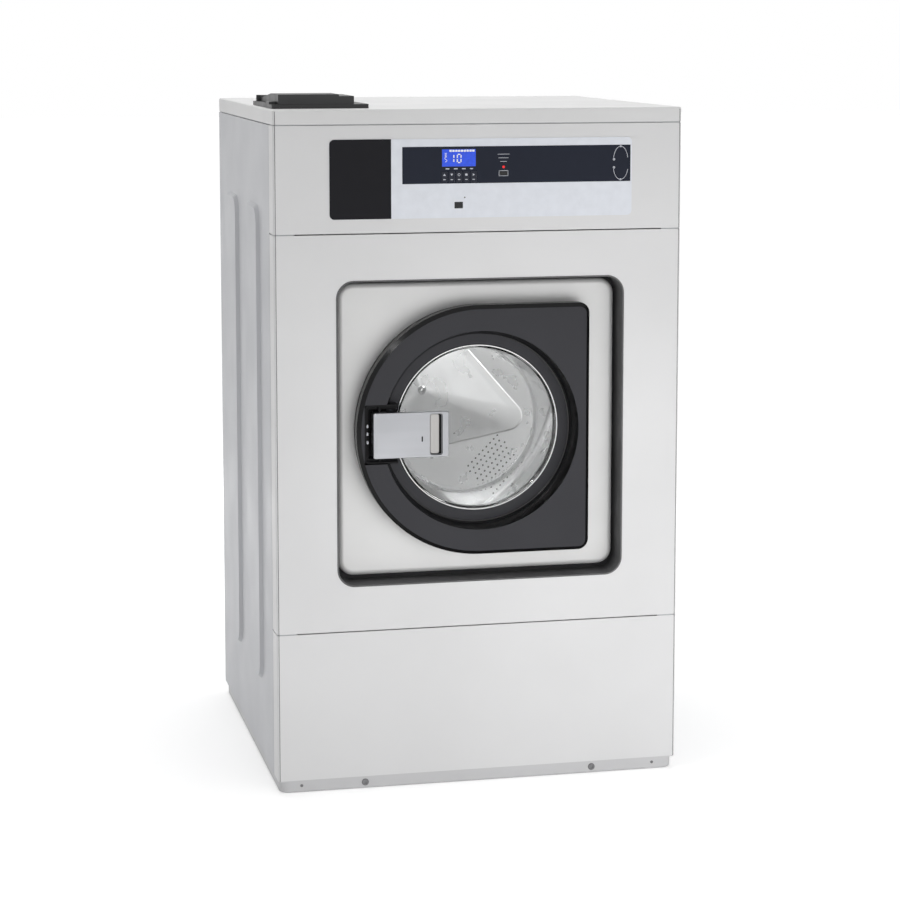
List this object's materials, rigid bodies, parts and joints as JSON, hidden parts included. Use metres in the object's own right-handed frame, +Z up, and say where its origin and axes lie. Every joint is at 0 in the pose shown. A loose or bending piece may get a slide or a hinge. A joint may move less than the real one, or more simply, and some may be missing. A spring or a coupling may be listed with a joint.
{
  "type": "washer-extractor",
  "caption": "Free-standing front-loading washer-extractor with a round-glass side-hung door, suspended tub, top dispenser and front control panel.",
  "frame": {"origin": "middle of the four floor anchor holes, on the floor under the base rail", "axes": "+X to the right as seen from the front, +Y to the back of the machine, +Z up"},
  "size_m": [0.702, 0.712, 1.1603],
  "materials": {
    "cabinet_paint": "satin powder coat, light grey",
    "frame_paint": "satin powder coat, mid grey",
    "dark_steel": "satin black paint",
    "stainless": "satin stainless steel",
    "bright_steel": "machined steel",
    "casting": "rough cast",
    "black_rubber": "matt moulded rubber",
    "charcoal_plastic": "satin charcoal moulding",
    "door_casting": "black powder coat",
    "door_glass": "clear toughened glass",
    "handle_metal": "satin anodised",
    "black_plastic": "fine-grained moulded plastic",
    "tray_plastic": "moulded plastic",
    "fascia_film": "satin polyester film",
    "badge_film": "satin polyester film",
    "strip_film": "satin polyester film",
    "display_blue": "lit display glass",
    "led_red": "translucent red lens",
    "key_plastic": "satin moulded key",
    "circuit_board": "solder mask"
  },
  "bodies": {
    "cabinet": {"base_frame": "frame_paint", "cable_gland": "black_plastic", "control_board": "circuit_board", "control_fascia": "fascia_film", "control_panel": "cabinet_paint", "damper_tubes": "black_plastic", "dispenser_boot": "black_rubber", "dispenser_hopper": "black_plastic", "dispenser_tray": "tray_plastic", "display_strip": "strip_film", "display_window": "display_blue", "drain_valve": "black_plastic", "fascia_badge": "badge_film", "front_panel": "cabinet_paint", "inlet_hoses": "black_rubber", "inlet_valves": "black_plastic", "left_side_panel": "cabinet_paint", "lower_panel": "cabinet_paint", "opening_gaiter": "black_rubber", "panel_screws": "bright_steel", "rear_panel": "cabinet_paint", "rear_service_cover": "cabinet_paint", "right_side_panel": "cabinet_paint", "status_led": "led_red", "sump_boot": "black_rubber", "suspension_springs": "bright_steel", "top_lid": "cabinet_paint", "upper_frame": "frame_paint"},
    "tub": {"tub_shell": "stainless", "tub_front": "stainless", "surround_plate": "stainless", "door_seal": "black_rubber", "bearing_housing": "casting", "drum_bearings": "bright_steel", "tub_cradle": "dark_steel", "damper_rods": "bright_steel", "motor": "dark_steel", "drive_belt": "black_rubber", "door_hinge": "bright_steel", "lock_keeper": "bright_steel"},
    "drum": {"drum_basket": "stainless", "drum_back": "stainless", "drum_lifters": "stainless", "drum_spider": "casting", "driven_pulley": "casting"},
    "motor_rotor": {"motor_pulley": "bright_steel"},
    "door": {"door_frame": "door_casting", "door_cover": "charcoal_plastic", "door_ring": "charcoal_plastic", "door_glass": "door_glass", "pivot_pins": "bright_steel"},
    "handle": {"door_handle": "handle_metal"},
    "latch": {"latch_hook": "bright_steel"},
    "dispenser_flap": {"dispenser_lid": "black_plastic"},
    "key_1": {"control_key_1": "key_plastic"},
    "key_2": {"control_key_2": "key_plastic"},
    "key_3": {"control_key_3": "key_plastic"},
    "key_4": {"control_key_4": "key_plastic"},
    "key_5": {"control_key_5": "key_plastic"}
  },
  "joints": [
    {"name": "tub_suspension", "type": "slide", "parent": "cabinet", "child": "tub", "axis": [0, 0, 1], "range_m": [-0.008, 0.004], "stiffness_N_per_m": 60000, "springref_m": 0.01662, "deforming": ["suspension_springs", "sump_boot", "dispenser_boot"]},
    {"name": "drum_spin", "type": "hinge", "parent": "tub", "child": "drum", "pos_m": [0, 0, 0.603], "axis": [0, 1, 0], "continuous": true},
    {"name": "motor_spin", "type": "hinge", "parent": "tub", "child": "motor_rotor", "pos_m": [0.09, 0, 0.166], "axis": [0, 1, 0], "continuous": true},
    {"name": "door_swing", "type": "hinge", "parent": "tub", "child": "door", "pos_m": [0.177, -0.325, 0.603], "axis": [0, 0, 1], "range_deg": [0, 105]},
    {"name": "handle_pull", "type": "hinge", "parent": "door", "child": "handle", "pos_m": [-0.171, -0.329, 0.603], "axis": [0, 0, -1], "range_deg": [0, 30], "stiffness_Nm_per_rad": 1.2, "springref_deg": -11.46},
    {"name": "latch_turn", "type": "hinge", "parent": "door", "child": "latch", "pos_m": [-0.192, -0.306, 0.603], "axis": [0, 0, -1], "range_deg": [0, 10.5]},
    {"name": "dispenser_flap_lift", "type": "hinge", "parent": "cabinet", "child": "dispenser_flap", "pos_m": [-0.2658, -0.086, 1.1493], "axis": [-1, 0, 0], "range_deg": [0, 100]},
    {"name": "key_1_press", "type": "slide", "parent": "cabinet", "child": "key_1", "axis": [0, 1, 0], "range_m": [0, 0.0006], "stiffness_N_per_m": 900, "springref_m": -0.0008},
    {"name": "key_2_press", "type": "slide", "parent": "cabinet", "child": "key_2", "axis": [0, 1, 0], "range_m": [0, 0.0006], "stiffness_N_per_m": 900, "springref_m": -0.0008},
    {"name": "key_3_press", "type": "slide", "parent": "cabinet", "child": "key_3", "axis": [0, 1, 0], "range_m": [0, 0.0006], "stiffness_N_per_m": 900, "springref_m": -0.0008},
    {"name": "key_4_press", "type": "slide", "parent": "cabinet", "child": "key_4", "axis": [0, 1, 0], "range_m": [0, 0.0006], "stiffness_N_per_m": 900, "springref_m": -0.0008},
    {"name": "key_5_press", "type": "slide", "parent": "cabinet", "child": "key_5", "axis": [0, 1, 0], "range_m": [0, 0.0006], "stiffness_N_per_m": 900, "springref_m": -0.0008}
  ],
  "couplings": [
    {"joint": "motor_spin", "follows": "drum_spin", "ratio": 5},
    {"joint": "latch_turn", "follows": "handle_pull", "ratio": 0.33}
  ]
}
